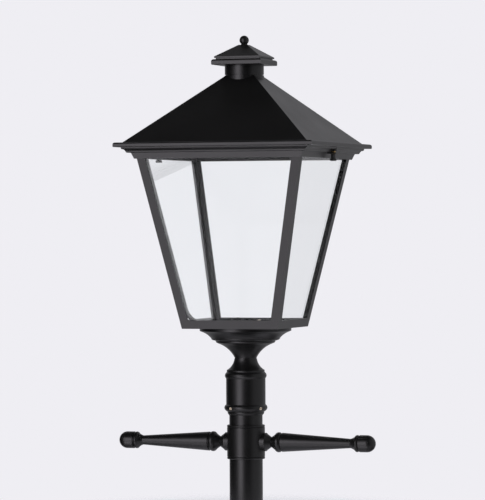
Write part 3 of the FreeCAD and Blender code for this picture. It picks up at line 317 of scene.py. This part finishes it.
def make_materials():
    """One material for each finish on the lantern."""
    coat = make_powder_coat()
    grain = make_metal_grain()
    skin = make_moulded_skin()
    warm_screw = {"Metal": grey(235, (1.0, 0.86, 0.68)), "Rough Low": 0.4, "Rough High": 0.6}
    opal = {"Plastic": grey(238), "Rough Low": 0.12, "Rough High": 0.2}
    return {
        "black_cast": finish_material("black_powder_coat", coat, {}, 0.12 * MM),
        "black_steel": finish_material(
            "black_powder_coat_on_tube", coat, {"Pebble Size": 1100.0}, 0.1 * MM),
        "glass": make_glass("clear_glass"),
        "stainless": finish_material(
            "stainless_steel", grain, {"Metal": grey(185, (1.0, 0.98, 0.95))},
            0.03 * MM, metallic=1.0),
        "screw_steel": finish_material(
            "passivated_screw_steel", grain, warm_screw, 0.03 * MM, metallic=0.55),
        "brass": finish_material(
            "turned_brass", grain, {"Metal": (0.62, 0.43, 0.18, 1)}, 0.03 * MM, metallic=1.0),
        "plain_aluminium": finish_material(
            "mill_aluminium", grain, {"Metal": grey(200), "Stretch": (30, 1, 1)},
            0.03 * MM, metallic=1.0),
        "black_plastic": finish_material("black_nylon", skin, {}, 0.05 * MM),
        "rubber": finish_material(
            "black_rubber", skin, {"Rough Low": 0.6, "Rough High": 0.8}, 0.08 * MM),
        "cable_sheath": finish_material(
            "grey_cable_sheath", skin, {"Plastic": grey(178)}, 0.04 * MM),
        "opal": finish_material("opal_acrylic", skin, opal, 0.02 * MM),
        "board": finish_material("white_board", skin, {"Plastic": grey(225)}, 0.02 * MM),
        "driver_case": finish_material(
            "white_driver_case", skin, {"Plastic": grey(215)}, 0.05 * MM),
    }


def dress_nodes(materials):
    """Give each CAD node the finish that the record names for it."""
    for name, slot in SLOTS.items():
        node = NODES[name]
        node.data.materials.clear()
        node.data.materials.append(materials[slot])


# ---------------------------------------------------------------- screws and knobs

TURN_STEPS = 48
WELD = 1e-6
SHARP_ANGLE = math.radians(30)
SIXTH_TURN = math.pi / 3

# Sizes of the screws and knobs, in millimetres, as on the CAD nodes that they stand for.
SCREW_FOOT = 30.05
SET_SCREW = {"tip": 39.0, "radius": 2.75, "socket": 1.25, "edge": 0.5}
SET_SCREW_TURN = 62.5
GRUB_SCREW = {"tip": 33.8, "radius": 3.0, "socket": 1.5, "edge": 0.4}
GRUB_SCREW_TURN = 90.0
SCREW_POINT = 0.4
SOCKET_RIM = 0.15

BEAD_SCREW_SHANK = 2.0
BEAD_SCREW_HEAD = 2.8
BEAD_SCREW_THICK = 1.8
BEAD_SCREW_SOCKET = 1.0
BEAD_SCREW_RIM = 0.25

KNOB_BORE = 3.05
KNOB_NECK = 4.0
KNOB_FOOT = 5.7
KNOB_FOOT_HEIGHT = 4.3
KNOB_FLOOR = 1.5
FLUTES = 12
FLUTE_DEPTH = 0.075


def turned(profile):
    """A closed turned shape about Z from a few (radius, height) points in millimetres."""
    shape = bmesh.new()
    verts = [shape.verts.new((out * MM, 0, up * MM)) for out, up in profile]
    edges = [shape.edges.new(pair) for pair in zip(verts, verts[1:])]
    bmesh.ops.spin(shape, geom=verts + edges, cent=(0, 0, 0), axis=(0, 0, 1),
                   angle=math.tau, steps=TURN_STEPS, use_merge=True)
    bmesh.ops.remove_doubles(shape, verts=shape.verts, dist=WELD)
    bmesh.ops.recalc_face_normals(shape, faces=shape.faces)
    return shape


def push_rings(shape, radii, share):
    """Move the points at some radii in or out by a share that depends on their angle."""
    for vert in shape.verts:
        out = math.hypot(vert.co.x, vert.co.y)
        if any(abs(out - radius * MM) < WELD for radius in radii):
            scale = share(math.atan2(vert.co.y, vert.co.x))
            vert.co.x *= scale
            vert.co.y *= scale


def hexagon_share(angle):
    """How far a hexagon reaches past its flats at an angle."""
    return 1 / math.cos(angle % SIXTH_TURN - SIXTH_TURN / 2)


def flute_share(angle):
    """How far a fluted foot is cut in at an angle."""
    return 1 - FLUTE_DEPTH * max(0.0, math.cos(angle * FLUTES)) ** 2


def socket_screw(length, radius, socket, edge):
    """A headless screw that ends in a chamfer and a hexagon socket."""
    rim = socket + SOCKET_RIM
    shape = turned([
        (0, 0), (radius - SCREW_POINT, 0), (radius, SCREW_POINT), (radius, length - edge),
        (radius - edge * 0.35, length - edge * 0.35), (radius - edge, length),
        (rim, length), (socket, length - SOCKET_RIM),
        (socket, length - radius), (0, length - radius * 1.3)])
    push_rings(shape, (socket, rim), hexagon_share)
    return shape


def pan_screw(length):
    """A bead screw: a plain shank and a pan head with a rounded rim and a hexagon socket."""
    shank, head, thick = BEAD_SCREW_SHANK, BEAD_SCREW_HEAD, BEAD_SCREW_THICK
    socket = BEAD_SCREW_SOCKET
    rim = socket + BEAD_SCREW_RIM
    shape = turned([
        (0, 0), (shank, 0), (shank, length), (head - 0.1, length), (head, length + 0.15),
        (head, length + thick * 0.45), (head * 0.93, length + thick * 0.75),
        (head * 0.78, length + thick * 0.94), (rim, length + thick),
        (socket, length + thick - 0.12), (socket, length), (0, length - 0.3)])
    push_rings(shape, (socket, rim), hexagon_share)
    return shape


def fluted_knob(height):
    """A slim hollow neck over a gripping foot with flutes round it."""
    neck, foot, foot_height = KNOB_NECK, KNOB_FOOT, KNOB_FOOT_HEIGHT
    shape = turned([
        (0, 0.35), (2.6, 0.35), (3.0, 0), (foot - 0.7, 0), (foot - 0.2, 0.25), (foot, 0.8),
        (foot, foot_height - 0.8), (foot - 0.2, foot_height - 0.3), (foot - 0.6, foot_height),
        (neck + 0.35, foot_height), (neck, foot_height + 0.35), (neck, height - 0.35),
        (neck - 0.3, height), (KNOB_BORE, height), (KNOB_BORE, KNOB_FLOOR), (0, KNOB_FLOOR)])
    push_rings(shape, (foot, foot - 0.2), flute_share)
    return shape


def stand_at(shape, place, facing=(0, 0, 1)):
    """Turn a shape's Z to a direction and move its foot to a place in metres."""
    turn = Vector(facing).to_track_quat("Z", "Y").to_matrix().to_4x4()
    shape.transform(Matrix.Translation(Vector(place)) @ turn)
    return shape


def finish_piece(name, shapes, node, material, body):
    """Join shapes to one smooth piece that stands for a CAD node."""
    whole = bmesh.new()
    mesh = bpy.data.meshes.new(name)
    for shape in shapes:
        shape.to_mesh(mesh)
        shape.free()
        whole.from_mesh(mesh)
    whole.to_mesh(mesh)
    whole.free()
    for polygon in mesh.polygons:
        polygon.use_smooth = True
    mesh.set_sharp_from_angle(angle=SHARP_ANGLE)
    mesh.materials.append(material)
    piece = bpy.data.objects.new(name, mesh)
    bpy.context.scene.collection.objects.link(piece)
    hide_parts(node)
    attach(piece, body)


def level_screw(turn, height, tip, radius, socket, edge):
    """A socket screw that points away from the post, at degrees from +X and a height."""
    angle = math.radians(turn)
    facing = (math.cos(angle), math.sin(angle), 0)
    place = (facing[0] * SCREW_FOOT * MM, facing[1] * SCREW_FOOT * MM, height)
    return stand_at(socket_screw(tip - SCREW_FOOT, radius, socket, edge), place, facing)


def add_set_screws(metal):
    low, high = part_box("fitter_set_screws")
    height = (low[2] + high[2]) / 2
    screws = [level_screw(SET_SCREW_TURN + 90 * number, height, **SET_SCREW)
              for number in range(4)]
    finish_piece("set_screws_of_socket", screws, "fitter_set_screws", metal, POST_BODY)


def add_grub_screws(metal):
    low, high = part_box("collar_grub_screws")
    radius = GRUB_SCREW["radius"] * MM
    screws = [level_screw(GRUB_SCREW_TURN, height, **GRUB_SCREW)
              for height in (low[2] + radius, high[2] - radius)]
    finish_piece("grub_screws_of_collar", screws, "collar_grub_screws", metal, POST_BODY)


def add_bead_screws(metal):
    low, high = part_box("bead_screws")
    foot = low[2]
    reach = high[0] - BEAD_SCREW_HEAD * MM
    length = (high[2] - foot) / MM - BEAD_SCREW_THICK
    places = [(reach, 0, foot), (0, reach, foot), (-reach, 0, foot), (0, -reach, foot)]
    screws = [stand_at(pan_screw(length), place) for place in places]
    finish_piece("screws_of_glazing_beads", screws, "bead_screws", metal, POST_BODY)


def add_thumb_knob(side, plastic):
    node = "thumb_knob_" + side
    low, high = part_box(node)
    middle = (low[0] + high[0]) / 2
    shape = stand_at(fluted_knob((high[2] - low[2]) / MM), (middle, 0, low[2]))
    finish_piece("fluted_knob_" + side, [shape], node, plastic, side + "_knob")


def add_details(materials):
    """The small turned pieces that show more than their CAD nodes do."""
    add_set_screws(materials["screw_steel"])
    add_grub_screws(materials["screw_steel"])
    add_bead_screws(materials["screw_steel"])
    for side in ("left", "right"):
        add_thumb_knob(side, materials["black_plastic"])


# ---------------------------------------------------------------- world, floor and lamps

# Soft lights that show in the paint's gloss: (turn, rise, level), in degrees as toward has them.
GLOSS_LIGHTS = [(-38, 12, 2.9), (-38, -15, 1.4), (-38, -42, 2.7), (-62, 10, 0.4),
                (-8, -40, 0.64), (50, -40, 0.66)]
GLOSS_TINT = (1.0, 0.955, 1.03)
LIGHT_HEART = math.cos(math.radians(4))
LIGHT_EDGE = math.cos(math.radians(24))

# Where the pale backdrop shows in gloss, round a direction and between two heights, and at
# which share of its level.
BACKDROP_TURN = 128
BACKDROP_EDGE = 0.25
BACKDROP_TOP = (0.74, 0.85)
BACKDROP_FOOT = (-0.42, -0.64)
BACKDROP_IN_GLOSS = 0.45

FLOOR_RADIUS = 0.42
FLOOR_FADE_START = 0.06
FLOOR_DROP = 0.5 * MM
FLOOR_SEGMENTS = 96
FLOOR_ROUGHNESS = 0.8
PAPER_SIZE = 60.0
PAPER_SHADE = 0.97

# Soft lamps: (name, turn, distance and height of the place, width, height, level).
LAMPS = [("left_softbox", -34, 2.2, 1.3, 1.0, 1.2, 0.8),
         ("top_softbox", 25, 1.2, 2.4, 1.2, 1.2, 1.0)]
LAMP_AIM_RISE = 0.05


def toward(turn, rise=0.0):
    """A direction: turn is degrees to the right of the camera's side, rise degrees up."""
    angle = CAMERA_TURN + math.radians(turn)
    lift = math.radians(rise)
    return (math.sin(angle) * math.cos(lift), -math.cos(angle) * math.cos(lift), math.sin(lift))


def soft_lights(shader, direction):
    """The level of all soft lights together in one direction of the surround."""
    level = 0.0
    for turn, rise, strength in GLOSS_LIGHTS:
        near = shader.dot(direction, toward(turn, rise))
        light = shader.fade(near, LIGHT_EDGE, LIGHT_HEART, strength)
        level = shader.combine("ADD", light, level)
    return level


def backdrop_mask(shader, direction):
    """Where the pale backdrop shows: behind the lantern, and not overhead or underfoot."""
    behind = shader.dot(direction, toward(BACKDROP_TURN))
    wall = shader.fade(behind, -BACKDROP_EDGE, BACKDROP_EDGE)
    height = shader.node("ShaderNodeSeparateXYZ", {"Vector": direction}).outputs["Z"]
    below_top = shader.fade(height, BACKDROP_TOP[1], BACKDROP_TOP[0])
    above_foot = shader.fade(height, BACKDROP_FOOT[1], BACKDROP_FOOT[0])
    return shader.combine("MULTIPLY", wall, shader.combine("MULTIPLY", below_top, above_foot))


def make_world():
    """A plain pale surround, where gloss sees a dimmed backdrop and soft lights instead."""
    world = bpy.data.worlds.new("pale_studio")
    bpy.context.scene.world = world
    world.use_nodes = True
    shader = Shader(world.node_tree)
    world.node_tree.nodes.clear()
    rays = shader.node("ShaderNodeLightPath").outputs
    direction = shader.node("ShaderNodeTexCoord").outputs["Generated"]
    lights = shader.scaled(GLOSS_TINT, soft_lights(shader, direction))
    backdrop = dimmed(BACKGROUND, BACKDROP_IN_GLOSS)
    room = shader.mix_colour(backdrop_mask(shader, direction), lights, backdrop)
    light = shader.mix_colour(rays["Is Glossy Ray"], BACKGROUND, room)
    light = shader.mix_colour(rays["Is Transmission Ray"], light, BACKGROUND)
    background = shader.node("ShaderNodeBackground", {"Color": light, "Strength": 1.0})
    output = shader.node("ShaderNodeOutputWorld")
    shader.feed(output.inputs["Surface"], background.outputs[0])


def make_floor_material():
    """Pale paper that turns clear towards the rim."""
    material = bpy.data.materials.new("pale_floor")
    material.use_nodes = True
    shader = Shader(material.node_tree)
    surface = material.node_tree.nodes["Principled BSDF"]
    output = material.node_tree.nodes["Material Output"]
    where = shader.own_place()
    distance = shader.node("ShaderNodeVectorMath", {0: where}, operation="LENGTH")
    rim = shader.fade(distance.outputs["Value"], FLOOR_FADE_START, FLOOR_RADIUS)
    paper = shader.noise(where, PAPER_SIZE, detail=4.0)
    shader.feed(surface.inputs["Base Color"], shader.mix_colour(
        paper, BACKGROUND, dimmed(BACKGROUND, PAPER_SHADE)))
    surface.inputs["Roughness"].default_value = FLOOR_ROUGHNESS
    clear = shader.node("ShaderNodeBsdfTransparent")
    mixed = shader.node("ShaderNodeMixShader", {"Fac": rim})
    shader.feed(mixed.inputs[1], surface.outputs[0])
    shader.feed(mixed.inputs[2], clear.outputs[0])
    shader.feed(output.inputs["Surface"], mixed.outputs[0])
    return material


def make_floor():
    """A pale disc under the post whose rim fades into the surround."""
    mesh = bpy.data.meshes.new("floor")
    shape = bmesh.new()
    bmesh.ops.create_circle(shape, cap_ends=True, segments=FLOOR_SEGMENTS, radius=FLOOR_RADIUS)
    bmesh.ops.translate(shape, verts=shape.verts, vec=(0, 0, -FLOOR_DROP))
    shape.to_mesh(mesh)
    shape.free()
    floor = bpy.data.objects.new("floor", mesh)
    bpy.context.scene.collection.objects.link(floor)
    floor.data.materials.append(make_floor_material())


def add_lamp(name, place, aim, width, height, level):
    """A soft rectangular lamp that faces a point and throws light but no reflection."""
    data = bpy.data.lights.new(name, "AREA")
    data.shape = "RECTANGLE"
    data.size = width
    data.size_y = height
    data.energy = level * math.pi * width * height
    lamp = bpy.data.objects.new(name, data)
    facing = (Vector(aim) - Vector(place)).to_track_quat("-Z", "Y").to_matrix().to_4x4()
    lamp.matrix_world = Matrix.Translation(Vector(place)) @ facing
    lamp.visible_camera = False
    lamp.visible_transmission = False
    lamp.visible_glossy = False
    bpy.context.scene.collection.objects.link(lamp)


def add_lamps():
    aim = (0, 0, FRAME_FOOT + LAMP_AIM_RISE)
    for name, turn, distance, rise, width, height, level in LAMPS:
        side = toward(turn)
        place = (side[0] * distance, side[1] * distance, rise)
        add_lamp(name, place, aim, width, height, level)


make_world()
make_floor()
add_lamps()
add_camera()
MATERIALS = make_materials()
dress_nodes(MATERIALS)
add_details(MATERIALS)

bpy.context.scene.view_settings.view_transform = "Standard"
